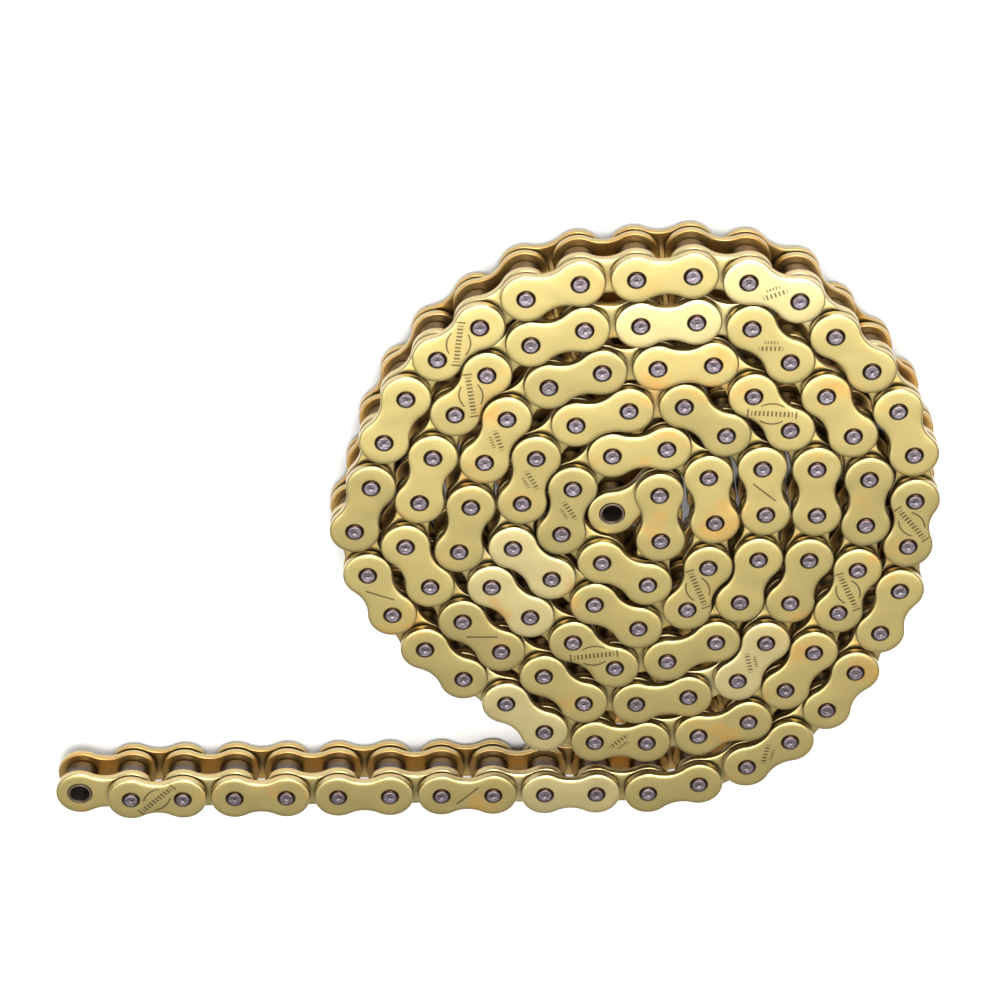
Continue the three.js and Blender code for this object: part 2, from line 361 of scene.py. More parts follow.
class ChainStudio(bpy.types.PropertyGroup):
    """Floor, lamps and camera"""

    floor_colour: FloatVectorProperty(
        name="Floor colour",
        description="Colour of the plain floor",
        default=(0.70, 0.70, 0.70),
        subtype="COLOR",
    )
    floor_size: FloatProperty(
        name="Floor size",
        description="Side of the square floor",
        default=8.0,
        unit="LENGTH",
    )
    sky_strength: FloatProperty(
        name="Room light",
        description="Strength of the even light of the room",
        default=0.34,
    )
    top_lamp_power: FloatProperty(
        name="Overhead lamp",
        description="Power of the broad lamp over the coil",
        default=70.0,
        unit="POWER",
    )
    side_lamp_power: FloatProperty(
        name="Side lamp",
        description="Power of the lamp beside the camera",
        default=33.0,
        unit="POWER",
    )
    camera_azimuth: FloatProperty(
        name="Camera azimuth",
        description="Direction of the camera round the chain",
        default=math.radians(-177.75),
        subtype="ANGLE",
    )
    camera_elevation: FloatProperty(
        name="Camera elevation",
        description="Height of the camera above the horizon, as an angle",
        default=math.radians(57.368),
        subtype="ANGLE",
    )
    camera_roll: FloatProperty(
        name="Camera roll",
        description="Turn of the camera about its own axis",
        default=math.radians(177.522),
        subtype="ANGLE",
    )
    camera_distance: FloatProperty(
        name="Camera distance",
        description="Distance from the camera to the point it aims at",
        default=1.05718,
        unit="LENGTH",
    )
    camera_aim: FloatVectorProperty(
        name="Camera aim",
        description="Point that the camera aims at",
        default=(4.03 * MM, 10.45 * MM, 10.0 * MM),
        subtype="XYZ",
        unit="LENGTH",
    )
    camera_lens: FloatProperty(
        name="Camera lens",
        description="Focal length of the camera in millimetres",
        default=129.233,
    )


# ---------------------------------------------------------------- how the chain lies


def plate_arcs(end_radius, half_waist, half_pitch):
    """Radius of a waist's arc and the distance of its centre from the plate's middle line."""
    rise = half_pitch**2 + half_waist**2 - end_radius**2
    arc_radius = rise / (2 * (end_radius - half_waist))
    return arc_radius, arc_radius + half_waist


class ChainLayout:
    """The chain's hinge points, laid link by link from the middle of the coil."""

    def __init__(self, sizes):
        self.pitch = sizes.pitch
        self.radius = (sizes.plate_height + sizes.coil_clearance) / 2
        waist = (sizes.plate_waist + sizes.coil_clearance) / 2
        self.arc_radius, self.arc_centre = plate_arcs(self.radius, waist, self.pitch / 2)
        self.heading = 0.0
        self.points = [(0.0, 0.0)]
        self.step(0.0)
        for bend in CORE_BENDS:
            self.step_at_most(bend)
        while len(self.points) <= WOUND_LINKS:
            self.step_at_most(LARGEST_BEND)
        for _ in range(LEAVING_LINKS):
            self.step_at_most(LEAVING_BEND)
        while len(self.points) <= LINK_COUNT:
            self.step_at_most(0.0)
        self.set_in_frame()

    def beyond(self, point, heading):
        """The point one pitch from another, in a heading."""
        angle = math.radians(heading)
        return (point[0] + self.pitch * math.cos(angle), point[1] + self.pitch * math.sin(angle))

    def step(self, bend):
        """Adds a link, turned clockwise from the last one by bend degrees."""
        self.heading -= bend
        self.points.append(self.beyond(self.points[-1], self.heading))

    def step_at_most(self, bend):
        """Adds a link bent by so many degrees, or by less where the coil stops it."""
        self.step(min(bend, self.bend_to_rest()))

    def distance_to_plate(self, point, start, end):
        """Distance from a point to the edge of a plate between two pins, negative inside it."""
        along = ((end[0] - start[0]) / self.pitch, (end[1] - start[1]) / self.pitch)
        offset = (point[0] - (start[0] + end[0]) / 2, point[1] - (start[1] + end[1]) / 2)
        x = abs(offset[0] * along[0] + offset[1] * along[1])
        y = abs(along[0] * offset[1] - along[1] * offset[0])
        if (self.pitch / 2) * (y - self.arc_centre) + self.arc_centre * x < 0:
            return self.arc_radius - math.hypot(x, y - self.arc_centre)
        return math.hypot(x - self.pitch / 2, y) - self.radius

    def clear_of(self, start, end, other_start, other_end):
        """Whether two plates, each between two pins, keep clear of each other."""
        closest = min(
            self.distance_to_plate(start, other_start, other_end),
            self.distance_to_plate(end, other_start, other_end),
            self.distance_to_plate(other_start, start, end),
            self.distance_to_plate(other_end, start, end),
        )
        return closest >= self.radius

    def fits(self, bend):
        """Whether the next link, bent so, is clear of the links laid before it."""
        last = len(self.points) - 1
        start = self.points[last]
        end = self.beyond(start, self.heading - bend)
        for index in range(last - 2, -1, -1):
            other = self.points[index]
            if math.dist(start, other) > NEAR_PITCHES * self.pitch:
                continue
            after = self.points[index + 1]
            if is_inner(last) == is_inner(index) and not self.clear_of(start, end, other, after):
                return False
            if self.distance_to_plate(end, other, after) < self.radius:
                return False
        return True

    def bend_to_rest(self):
        """The bend at which the next link, swung in from outside, lies against the coil."""
        bend = SMALLEST_BEND
        while bend <= LARGEST_BEND and not self.fits(bend):
            bend += BEND_STEP
        while bend + BEND_STEP <= LARGEST_BEND and self.fits(bend + BEND_STEP):
            bend += BEND_STEP
        too_far = bend + BEND_STEP
        for _ in range(HALVINGS):
            middle = (bend + too_far) / 2
            if self.fits(middle):
                bend = middle
            else:
                too_far = middle
        return min(bend, LARGEST_BEND)

    def set_in_frame(self):
        """Turns the tail to run towards -X, and puts its last hinge on the frame's."""
        turn = Matrix.Rotation(math.radians(180 - self.heading), 2)
        turned = [turn @ Vector(point) for point in self.points]
        shift = LAST_HINGE.to_2d() - turned[LINK_COUNT - 1]
        self.points = [point + shift for point in turned]

    def place(self, index):
        """Puts a shape drawn along X from the origin onto a link."""
        start, end = self.points[index], self.points[index + 1]
        along = (end - start).normalized()
        turn = Matrix.Rotation(math.atan2(along.y, along.x), 4, "Z")
        return Matrix.Translation((start.x, start.y, 0)) @ turn


# ---------------------------------------------------------------- shapes


def new_shape():
    """An empty shape, and its layers by name."""
    shape = bmesh.new()
    for name in MESH_LAYERS:
        shape.verts.layers.float.new(name)
    return shape, {name: shape.verts.layers.float[name] for name in MESH_LAYERS}


def add_ring(shape, points, height):
    return [shape.verts.new((x, y, height)) for x, y in points]


def join_rings(shape, first, second):
    """A closed band of faces between two rings of as many points."""
    count = len(first)
    for index in range(count):
        after = (index + 1) % count
        shape.faces.new((first[index], first[after], second[after], second[index]))


def mark(layer, verts, value):
    for vert in verts:
        vert[layer] = value


def circle(x, radius, steps):
    turn = 2 * math.pi / steps
    return [
        (x + radius * math.cos(turn * step), radius * math.sin(turn * step))
        for step in range(steps)
    ]


def plate_outline(sizes, inset):
    """A plate's outline from above, its first pin at the origin, drawn in by inset."""
    half = sizes.pitch / 2
    end_radius, half_waist = sizes.plate_height / 2, sizes.plate_waist / 2
    arc_radius, arc_centre = plate_arcs(end_radius, half_waist, half)
    end_angle = math.atan2(arc_centre, -half)
    waist_angle = math.atan2(arc_centre, half)
    waist_sweep = 2 * waist_angle - math.pi
    end_radius -= inset
    arc_radius += inset
    arcs = (
        (sizes.pitch, 0, end_radius, -end_angle, 2 * end_angle, END_STEPS, 0),
        (half, arc_centre, arc_radius, -waist_angle, waist_sweep, WAIST_STEPS, 1),
        (0, 0, end_radius, math.pi - end_angle, 2 * end_angle, END_STEPS, 0),
        (half, -arc_centre, arc_radius, math.pi - waist_angle, waist_sweep, WAIST_STEPS, 1),
    )
    outline = []
    for x, y, radius, start, sweep, steps, skip in arcs:
        for step in range(skip, steps + 1 - skip):
            angle = start + sweep * step / steps
            outline.append((x + radius * math.cos(angle), y + radius * math.sin(angle)))
    return outline


def rounded_edge(rounding, crown_width, crown_drop, steps):
    """Insets and depths from a plate's face to its side: a shallow slope, then a rounding."""
    knee_width, knee_drop = CROWN_KNEE
    profile = [
        (rounding + crown_width, 0.0),
        (rounding + crown_width * knee_width, crown_drop * knee_drop),
    ]
    for step in range(steps + 1):
        angle = math.pi / 2 * step / steps
        inset = rounding * (1 - math.sin(angle))
        depth = crown_drop + rounding * (1 - math.cos(angle))
        profile.append((inset, depth))
    return profile


def plate_shape(sizes, low, high, hole_radius, recess, faces_up):
    """A pressed plate with rounded edges and two holes, each hole with a recess on the outside."""
    shape, layers = new_shape()
    outside = rounded_edge(
        sizes.outer_rounding, sizes.crown_width, sizes.crown_drop, OUTER_EDGE_STEPS,
    )
    inside = rounded_edge(sizes.inner_rounding, sizes.crown_width, 0.0, INNER_EDGE_STEPS)
    rings = []
    for inset, depth in outside:
        ring = add_ring(shape, plate_outline(sizes, inset), high - depth)
        # The rim value sets how much painted highlight a plate's rounded edge gets
        mark(layers["rim"], ring, max(0.0, 1 - inset / sizes.outer_rounding))
        rings.append(ring)
    for inset, depth in reversed(inside):
        ring = add_ring(shape, plate_outline(sizes, inset), low + depth)
        mark(layers["inward"], ring, 1.0)
        rings.append(ring)
    for upper, lower in zip(rings, rings[1:]):
        join_rings(shape, lower, upper)
    margin, width, depth = recess
    # Radius, height and how much painted shade, from the outside in
    hole_profile = (
        (hole_radius + width + margin, high, 0.0),
        (hole_radius + width, high, 1.0),
        (hole_radius + width * 0.6, high - depth * 0.25, 1.0),
        (hole_radius + width * 0.2, high - depth * 0.8, 1.0),
        (hole_radius, high - depth * 1.2, 1.0),
        (hole_radius, low + HOLE_CHAMFER, 0.0),
        (hole_radius + HOLE_CHAMFER, low, 0.0),
    )
    tops, bottoms = [rings[0]], [rings[-1]]
    for x in (0, sizes.pitch):
        walls = []
        for radius, height, value in hole_profile:
            wall = add_ring(shape, circle(x, radius, HOLE_STEPS), height)
            mark(layers["bore"], wall, value)
            walls.append(wall)
        mark(layers["inward"], walls[-1], 1.0)
        for upper, lower in zip(walls, walls[1:]):
            join_rings(shape, upper, lower)
        tops.append(walls[0])
        bottoms.append(walls[-1])
    for group in (tops, bottoms):
        edges = [
            shape.edges.get((ring[index], ring[(index + 1) % len(ring)]))
            for ring in group
            for index in range(len(ring))
        ]
        bmesh.ops.triangle_fill(shape, edges=edges, use_beauty=True)
    lean = Matrix.Rotation(math.radians(-MARK_LEAN), 2)
    for vert in shape.verts:
        place = lean @ Vector((vert.co.x - sizes.pitch / 2, vert.co.y)) / MM
        vert[layers["mark_along"]], vert[layers["mark_across"]] = place
    if not faces_up:
        flip = Matrix.Translation((0, 0, low + high)) @ Matrix.Scale(-1, 4, (0, 0, 1))
        bmesh.ops.transform(shape, matrix=flip, verts=shape.verts)
    bmesh.ops.recalc_face_normals(shape, faces=shape.faces)
    return shape


def turned_shape(x, profile, steps=ROUND_STEPS):
    """A shape turned about an upright axis at x, from three values round its section: radius,
    height, and a rim value that means rubbed corners on a bush and painted shade on a pin's
    chamfer.

    A section that starts and ends on the axis makes a solid, and any other one makes a ring.
    """
    shape, layers = new_shape()
    solid = profile[0][0] == 0 and profile[-1][0] == 0
    rings = []
    for radius, height, wear_and_shade in profile:
        if radius == 0:
            ring = [shape.verts.new((x, 0, height))]
        else:
            ring = add_ring(shape, circle(x, radius, steps), height)
        mark(layers["rim"], ring, wear_and_shade)
        rings.append(ring)
    pairs = list(zip(rings, rings[1:]))
    if not solid:
        pairs.append((rings[-1], rings[0]))
    for first, second in pairs:
        if len(first) == 1 or len(second) == 1:
            tip, ring = (first[0], second) if len(first) == 1 else (second[0], first)
            for index in range(len(ring)):
                shape.faces.new((tip, ring[index], ring[(index + 1) % len(ring)]))
        else:
            join_rings(shape, first, second)
    bmesh.ops.recalc_face_normals(shape, faces=shape.faces)
    return shape


def pin_shape(sizes, x):
    """A pin with both ends riveted over: a chamfer with painted shade round a bright, dimpled
    face.
    """
    low, high = low_of("tail_link_2_pin_1"), high_of("tail_link_2_pin_1")
    plate_face = high_of("tail_link_2_plate_high")
    radius = sizes.pin_diameter / 2
    proud = high - plate_face
    top = [(radius * share, high - proud * depth, wear_and_shade) for share, depth, wear_and_shade in PIN_END]
    bottom = [(radius * share, low + proud * depth, wear_and_shade) for share, depth, wear_and_shade in PIN_END]
    return turned_shape(x, top + bottom[::-1])


def tube_profile(outer, inner, low, high, rounding, mouth):
    """Section of a tube with rounded outer corners and chamfered mouths."""
    profile = []
    for level, side in ((high, -1), (low, 1)):
        corner = []
        for step in range(CORNER_STEPS + 1):
            angle = math.pi / 2 * step / CORNER_STEPS
            corner.append((
                outer - rounding * (1 - math.sin(angle)),
                level + side * rounding * (1 - math.cos(angle)),
                1.0 if step < CORNER_STEPS else 0.6,
            ))
        lip = [(inner, level + side * mouth, 0.0), (inner + mouth, level, 0.5)]
        piece = lip + corner
        profile.extend(piece if side < 0 else reversed(piece))
    return profile


def bush_shape(sizes, x):
    """A bush, open from end to end for its pin."""
    bore = sizes.pin_diameter / 2 + sizes.running_fit
    low, high = low_of("tail_link_1_bush_1"), high_of("tail_link_1_bush_1")
    outer = sizes.bush_diameter / 2
    return turned_shape(x, tube_profile(outer, bore, low, high, BUSH_ROUNDING, BUSH_MOUTH))


def roller_shape(sizes, x):
    """A roller with rounded corners."""
    bore = sizes.bush_diameter / 2 + sizes.running_fit
    low, high = low_of("tail_link_1_roller_1"), high_of("tail_link_1_roller_1")
    outer = sizes.roller_diameter / 2
    return turned_shape(x, tube_profile(outer, bore, low, high, ROLLER_ROUNDING, ROLLER_MOUTH))


def seal_shape(sizes, x, node):
    """A sealing ring with a lobe at each corner of its section."""
    low, high = low_of(node) - SEAL_SQUEEZE, high_of(node) + SEAL_SQUEEZE
    outer = sizes.seal_diameter / 2
    inner = sizes.bush_diameter / 2 + sizes.running_fit
    middle, half = (outer + inner) / 2, (outer - inner) / 2
    level, rise = (low + high) / 2, (high - low) / 2
    section = [(middle + half * u, level + rise * v, 0.0) for u, v in SEAL_LOBES]
    return turned_shape(x, section, SEAL_STEPS)


def joined(shapes):
    """One mesh of several shapes, which are used up."""
    whole, _ = new_shape()
    carrier = bpy.data.meshes.new("carrier")
    for shape in shapes:
        shape.to_mesh(carrier)
        whole.from_mesh(carrier)
        shape.free()
    whole.to_mesh(carrier)
    whole.free()
    return carrier


def make_piece(name, pattern, places, finish, body, nodes):
    """Repeats a pattern at several places as one piece that rides on a body."""
    whole = bmesh.new()
    for place in places:
        first = len(whole.verts)
        whole.from_mesh(pattern)
        whole.verts.ensure_lookup_table()
        bmesh.ops.transform(whole, matrix=place, verts=whole.verts[first:])
    mesh = bpy.data.meshes.new(name)
    whole.to_mesh(mesh)
    whole.free()
    mesh.shade_smooth()
    mesh.set_sharp_from_angle(angle=SHARP_ANGLE)
    mesh.materials.append(finish)
    piece = bpy.data.objects.new(name, mesh)
    bpy.context.scene.collection.objects.link(piece)
    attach(piece, body)
    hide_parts(*nodes)
    return piece


# ---------------------------------------------------------------- which links go where


def is_inner(index):
    return index % 2 == 0


def link_groups():
    """(name, links, body, frame nodes) of each run of links that is built together."""
    groups = [("core_link", [0], "coil", ["core_link_frame"])]
    for number in range(1, STRETCHES + 1):
        first = 1 + (number - 1) * STRETCH_LINKS
        links = list(range(first, first + STRETCH_LINKS))
        groups.append((f"coil_stretch_{number}", links, "coil", [f"coil_stretch_{number}"]))
    for number in range(TAIL_LINKS, LOOSE_LINKS, -1):
        name = f"tail_link_{number}"
        groups.append((name, [LINK_COUNT - number], name, [f"{name}_frame"]))
    return groups


# ---------------------------------------------------------------- finishes


# Sockets of a Mix node for colours
MIX_FACTOR, MIX_FIRST, MIX_SECOND = 0, 6, 7
MIX_RESULT = 2


class Socket:
    """An output in a material's nodes that can be used in sums."""

    def __init__(self, finish, output):
        self.finish = finish
        self.output = output

    def _sum(self, operation, first, second):
        return self.finish.node("ShaderNodeMath", {"operation": operation}, {0: first, 1: second})

    def __add__(self, other):
        return self._sum("ADD", self, other)

    __radd__ = __add__

    def __sub__(self, other):
        return self._sum("SUBTRACT", self, other)

    def __rsub__(self, other):
        return self._sum("SUBTRACT", other, self)

    def __mul__(self, other):
        return self._sum("MULTIPLY", self, other)

    __rmul__ = __mul__


class Finish:
    """A material, with its nodes made by name."""

    def __init__(self, name):
        self.material = bpy.data.materials.new(name)
        self.material.use_nodes = True
        self.nodes = self.material.node_tree.nodes
        self.links = self.material.node_tree.links
        self.nodes.clear()
        self.place = self.node("ShaderNodeTexCoord", output="Object")

    def node(self, kind, settings=None, inputs=None, output=0):
        """Adds a node: its settings first, then the values or links of its sockets."""
        made = self.nodes.new(kind)
        for name, value in (settings or {}).items():
            setattr(made, name, value)
        for name, value in (inputs or {}).items():
            if isinstance(value, Socket):
                self.links.new(value.output, made.inputs[name])
            else:
                made.inputs[name].default_value = value
        return Socket(self, made.outputs[output])

    def noise(self, scale, detail, roughness, stretch=None):
        place = self.place
        if stretch:
            settings = {"operation": "MULTIPLY"}
            place = self.node("ShaderNodeVectorMath", settings, {0: place, 1: stretch})
        inputs = {"Vector": place, "Scale": scale, "Detail": detail, "Roughness": roughness}
        return self.node("ShaderNodeTexNoise", {}, inputs, "Fac")

    def steps(self, value, low, high):
        """0 below low, 1 above high, and smooth between."""
        inputs = {"Value": value, "From Min": low, "From Max": high}
        return self.node("ShaderNodeMapRange", {"interpolation_type": "SMOOTHSTEP"}, inputs)

    def attribute(self, name):
        return self.node("ShaderNodeAttribute", {"attribute_name": name}, output="Fac")

    def within(self, value, centre, reach):
        """1 where a value is no further than reach from a centre, and 0 elsewhere."""
        inputs = {0: value, 1: centre, 2: reach}
        return self.node("ShaderNodeMath", {"operation": "COMPARE"}, inputs)

    def strokes(self, value, gap, width):
        """1 on strokes a gap apart, and 0 between them."""
        wave = self.node("ShaderNodeMath", {"operation": "PINGPONG"}, {0: value, 1: gap / 2})
        return self.within(wave, 0.0, width / 2)

    def larger(self, first, second):
        return self.node("ShaderNodeMath", {"operation": "MAXIMUM"}, {0: first, 1: second})

    def size_of(self, value):
        return self.node("ShaderNodeMath", {"operation": "ABSOLUTE"}, {0: value})

    def crevice_shade(self, reach, low, high):
        """A mask for painted shade: 0 in the open, 1 in corners and seams that other surfaces
        within reach shut in.
        """
        inputs = {"Distance": reach}
        open_share = self.node("ShaderNodeAmbientOcclusion", {"samples": 6}, inputs, "AO")
        return self.steps(1 - open_share, low, high)

    def own_number(self):
        """A number from 0 to 1 that is the same all over a loose piece."""
        return self.node("ShaderNodeNewGeometry", output="Random Per Island")

    def blend(self, mask, first, second):
        """Two colours mixed. The Mix node's sockets share their names, so they go by number."""
        inputs = {MIX_FACTOR: mask, MIX_FIRST: first, MIX_SECOND: second}
        return self.node("ShaderNodeMix", {"data_type": "RGBA"}, inputs, MIX_RESULT)

    def surface(self, colour, roughness, height=None, bump=0.0, **constants):
        """The shader and the material's output. Constants go straight on the shader's sockets."""
        inputs = {"Base Color": colour, "Roughness": roughness}
        if height is not None:
            relief = {"Height": height, "Distance": bump, "Strength": 1.0}
            inputs["Normal"] = self.node("ShaderNodeBump", {}, relief, "Normal")
        inputs.update({name.replace("_", " "): value for name, value in constants.items()})
        shader = self.node("ShaderNodeBsdfPrincipled", {}, inputs)
        made = self.nodes.new("ShaderNodeOutputMaterial")
        self.links.new(shader.output, made.inputs["Surface"])
        return self.material


def opaque(colour):
    return (*colour, 1.0)


def punched_marks(finish):
    """Plain marks in the plates: strokes between two arcs, two short rows, or a single line.

    Lengths are in millimetres.
    """
    kind = finish.attribute("mark")
    along = finish.attribute("mark_along")
    across = finish.attribute("mark_across")

    def bar(half_length, level, half_height):
        return finish.within(along, 0.0, half_length) * finish.within(across, level, half_height)

    def strokes(gap, width, half_length, level, half_height):
        return finish.strokes(along, gap, width) * bar(half_length, level, half_height)

    bow = finish.size_of(across) + along * along * 0.09
    arcs = finish.within(bow, 3.4, 0.25) * finish.within(along, 0.0, 3.4)
    ends = finish.within(finish.size_of(along), 7.0, 0.25) * finish.within(across, 0.0, 1.3)
    row = strokes(gap=1.2, width=0.6, half_length=6.0, level=0.0, half_height=0.85)
    upper = strokes(gap=1.2, width=0.55, half_length=3.5, level=-0.9, half_height=0.75)
    lower = strokes(gap=0.9, width=0.4, half_length=1.9, level=1.1, half_height=0.5)
    marks = {
        ARCS_MARK: finish.larger(finish.larger(arcs, row), ends),
        ROWS_MARK: finish.larger(upper, lower),
        LINE_MARK: bar(half_length=4.6, level=0.0, half_height=0.26),
    }
    return sum(marks[each] * finish.within(kind, each, SAME_MARK) for each in marks)


def gold_plating(colours):
    """Satin gold plating: each plate a slightly different random tone, which also stands in for
    the reflection of its tilt, warm tarnished patches, a painted highlight on the rims, a painted
    warm reflection on the faces that face in, and painted shade in corners, seams and the recesses
    round the holes.
    """
    finish = Finish("satin_gold_plating")
    tone = finish.own_number()
    cloud = finish.noise(70.0, 3.0, 0.55)
    grain = finish.noise(1900.0, 3.0, 0.65)
    speckle = finish.noise(650.0, 2.0, 0.6)
    wave = finish.noise(110.0, 1.0, 0.4)
    rim = finish.attribute("rim")
    bore = finish.attribute("bore")
    inward = finish.attribute("inward")
    gold, pale_and_highlight = opaque(colours.gold), opaque(colours.pale_gold_and_highlight)
    tarnish_and_reflection, oil_and_shade = opaque(colours.tarnish_and_reflection), opaque(colours.oil_and_shade)
    deep = opaque([part * 0.8 for part in colours.gold])
    # Each plate gets a random tone; the lighter and darker plates are also a painted reflection of
    # how each plate is tilted
    colour = finish.blend(finish.steps(tone, 0.0, 0.45), deep, gold)
    colour = finish.blend(finish.steps(tone, 0.6, 1.0) * 0.55, colour, pale_and_highlight)
    patches = finish.steps(cloud, 0.53, 0.72) * finish.steps(tone * 0.5 + cloud, 0.5, 1.0)
    colour = finish.blend(patches * 0.75, colour, tarnish_and_reflection)
    colour = finish.blend(finish.steps(speckle, 0.6, 0.8) * 0.2, colour, tarnish_and_reflection)
    # Painted warm reflection of gold on gold on the faces that face in
    colour = finish.blend(inward * (0.35 + cloud * 0.5), colour, tarnish_and_reflection)
    # Painted highlight on the rounded rims
    colour = finish.blend(rim * 0.5, colour, pale_and_highlight)
    # Painted shade in the recess round each hole
    colour = finish.blend(bore * 0.88, colour, oil_and_shade)
    marks = punched_marks(finish) * (1 - inward)
    colour = finish.blend(marks * (0.6 + speckle * 0.3), colour, oil_and_shade)
    # Painted shade: corners and seams that other surfaces shut in are darkened
    colour = finish.blend(finish.crevice_shade(CREVICE_REACH, 0.35, 1.0) * 0.85, colour, oil_and_shade)
    rough = 0.27 + grain * 0.1 + cloud * 0.06
    relief = grain * 0.5 + speckle * 0.5 + wave * 5.0 - marks * 3.0
    return finish.surface(
        colour, rough, relief, 0.02 * MM, Metallic=1.0, Coat_Weight=0.6, Coat_Roughness=0.2,
    )


def pin_steel(colours):
    """Ground steel with painted shade on the chamfer round the riveted end."""
    finish = Finish("riveted_pin_steel")
    tone = finish.own_number()
    grain = finish.noise(1500.0, 3.0, 0.6)
    smear = finish.noise(850.0, 2.0, 0.6)
    rim = finish.attribute("rim")
    dark = opaque([part * 0.6 for part in colours.pin])
    colour = finish.blend(tone * 0.6, opaque(colours.pin), dark)
    smears = finish.steps(smear, 0.44, 0.64) * 0.75
    colour = finish.blend(smears, colour, opaque(colours.pin_smear))
    # Painted shade on the chamfer round the riveted end
    colour = finish.blend(rim * 0.93, colour, opaque(colours.oil_and_shade))
    rough = 0.26 + grain * 0.2
    return finish.surface(colour, rough, grain * 0.6 + smear * 1.4, 0.09 * MM, Metallic=1.0)


def bush_steel(colours):
    """Oiled brown steel."""
    finish = Finish("oiled_bush_steel")
    grain = finish.noise(1300.0, 3.0, 0.6)
    film = finish.noise(260.0, 3.0, 0.55)
    oiled = finish.steps(film, 0.4, 0.7) * 0.6
    colour = finish.blend(oiled, opaque(colours.bush), opaque(colours.oil_and_shade))
    rim = finish.attribute("rim")
    colour = finish.blend(rim * 0.15, colour, opaque(colours.worn_bush))
    return finish.surface(colour, 0.36 + grain * 0.25, grain, 0.02 * MM, Metallic=0.9)


def roller_steel(colours):
    """Dark polished steel with fine turning lines round it."""
    finish = Finish("turned_roller_steel")
    tone = finish.own_number()
    lines = finish.noise(220.0, 2.0, 0.7, stretch=(1.0, 1.0, 18.0))
    film = finish.noise(240.0, 3.0, 0.6)
    dark = opaque([part * 0.6 for part in colours.roller])
    colour = finish.blend(tone * 0.4, opaque(colours.roller), dark)
    colour = finish.blend(finish.steps(film, 0.52, 0.75) * 0.5, colour, opaque(colours.oil_and_shade))
    rough = 0.22 + lines * 0.14 + film * 0.1
    return finish.surface(colour, rough, lines, 0.012 * MM, Metallic=1.0)


def seal_rubber(colours):
    """Matt black rubber with a little grease."""
    finish = Finish("greased_seal_rubber")
    grain = finish.noise(900.0, 3.0, 0.6)
    grease = finish.noise(180.0, 2.0, 0.5)
    greasy = opaque([part * 2.5 for part in colours.seal])
    colour = finish.blend(finish.steps(grease, 0.45, 0.7), opaque(colours.seal), greasy)
    return finish.surface(colour, 0.55 + grain * 0.25 - grease * 0.2, grain, 0.03 * MM)


def floor_paper(studio):
    """Pale paper with a faint grain."""
    finish = Finish("pale_floor_paper")
    fibre = finish.noise(900.0, 2.0, 0.6)
    shade = opaque([part * 0.985 for part in studio.floor_colour])
    colour = finish.blend(fibre, opaque(studio.floor_colour), shade)
    return finish.surface(colour, 0.8 + fibre * 0.1)


def finish_of(name, maker):
    """A finish by its name, made when it is first asked for."""
    found = bpy.data.materials.get(name)
    return found or maker(bpy.context.scene.chain_finishes)


# ---------------------------------------------------------------- operators


class CHAIN_OT_plates(bpy.types.Operator):
    """Make the pressed plates of every link"""

    bl_idname = "chain.plates"
    bl_label = "Link Plates"

    def execute(self, context):
        sizes = context.scene.chain_sizes
        layout = ChainLayout(sizes)
        finish = finish_of("satin_gold_plating", gold_plating)
        kinds = {
            True: ("tail_link_1", sizes.bush_diameter / 2 + HOLE_GAP, BUSH_RECESS),
            False: ("tail_link_2", sizes.pin_diameter / 2 + HOLE_GAP, PIN_RECESS),
        }
        patterns = {}
        for inner, (name, hole, recess) in kinds.items():
            shapes = {}
            for side, up in (("low", False), ("high", True)):
                node = f"{name}_plate_{side}"
                shapes[side] = (low_of(node), high_of(node), hole, recess, up)
            patterns[inner] = {
                side: joined([plate_shape(sizes, *values)]) for side, values in shapes.items()
            }
            plates = [plate_shape(sizes, *values) for values in shapes.values()]
            patterns[inner]["both"] = joined(plates)
        for name, links, body, nodes in link_groups():
            for inner, label in ((True, "inner"), (False, "outer")):
                own = [index for index in links if is_inner(index) == inner]
                if own:
                    piece = make_piece(
                        f"{name}_{label}_plates", patterns[inner]["both"],
                        [layout.place(index) for index in own],
                        finish, body, nodes,
                    )
                    self.punch(piece, own)
        for number in (2, 1):
            body = f"tail_link_{number}"
            place = layout.place(LINK_COUNT - number)
            for side in ("low", "high"):
                piece = make_piece(
                    f"end_link_{number}_plate_{side}", patterns[number == 1][side], [place],
                    finish, body, [f"{body}_plate_{side}"],
                )
                self.punch(piece, [LINK_COUNT - number])
        return {"FINISHED"}

    def punch(self, piece, links):
        """Tells the finish which mark each link's plates carry."""
        marks = piece.data.attributes["mark"].data
        link_verts = len(marks) // len(links)
        for order, index in enumerate(links):
            kind = 0 if is_inner(index) else MARKS.get(index % MARK_CYCLE, 0)
            for vert in range(order * link_verts, (order + 1) * link_verts):
                marks[vert].value = kind


class CHAIN_OT_pins(bpy.types.Operator):
    """Make the riveted pins of the outer links"""

    bl_idname = "chain.pins"
    bl_label = "Pins"

    def execute(self, context):
        sizes = context.scene.chain_sizes
        layout = ChainLayout(sizes)
        finish = finish_of("riveted_pin_steel", pin_steel)
        both = joined([pin_shape(sizes, x) for x in (0, sizes.pitch)])
        for name, links, body, nodes in link_groups():
            places = [layout.place(index) for index in links if not is_inner(index)]
            if places:
                make_piece(f"{name}_pins", both, places, finish, body, nodes)
        place = layout.place(LINK_COUNT - 2)
        for end, x in ((1, 0), (2, sizes.pitch)):
            make_piece(
                f"end_link_2_pin_{end}", joined([pin_shape(sizes, x)]), [place],
                finish, "tail_link_2", [f"tail_link_2_pin_{end}"],
            )
        return {"FINISHED"}


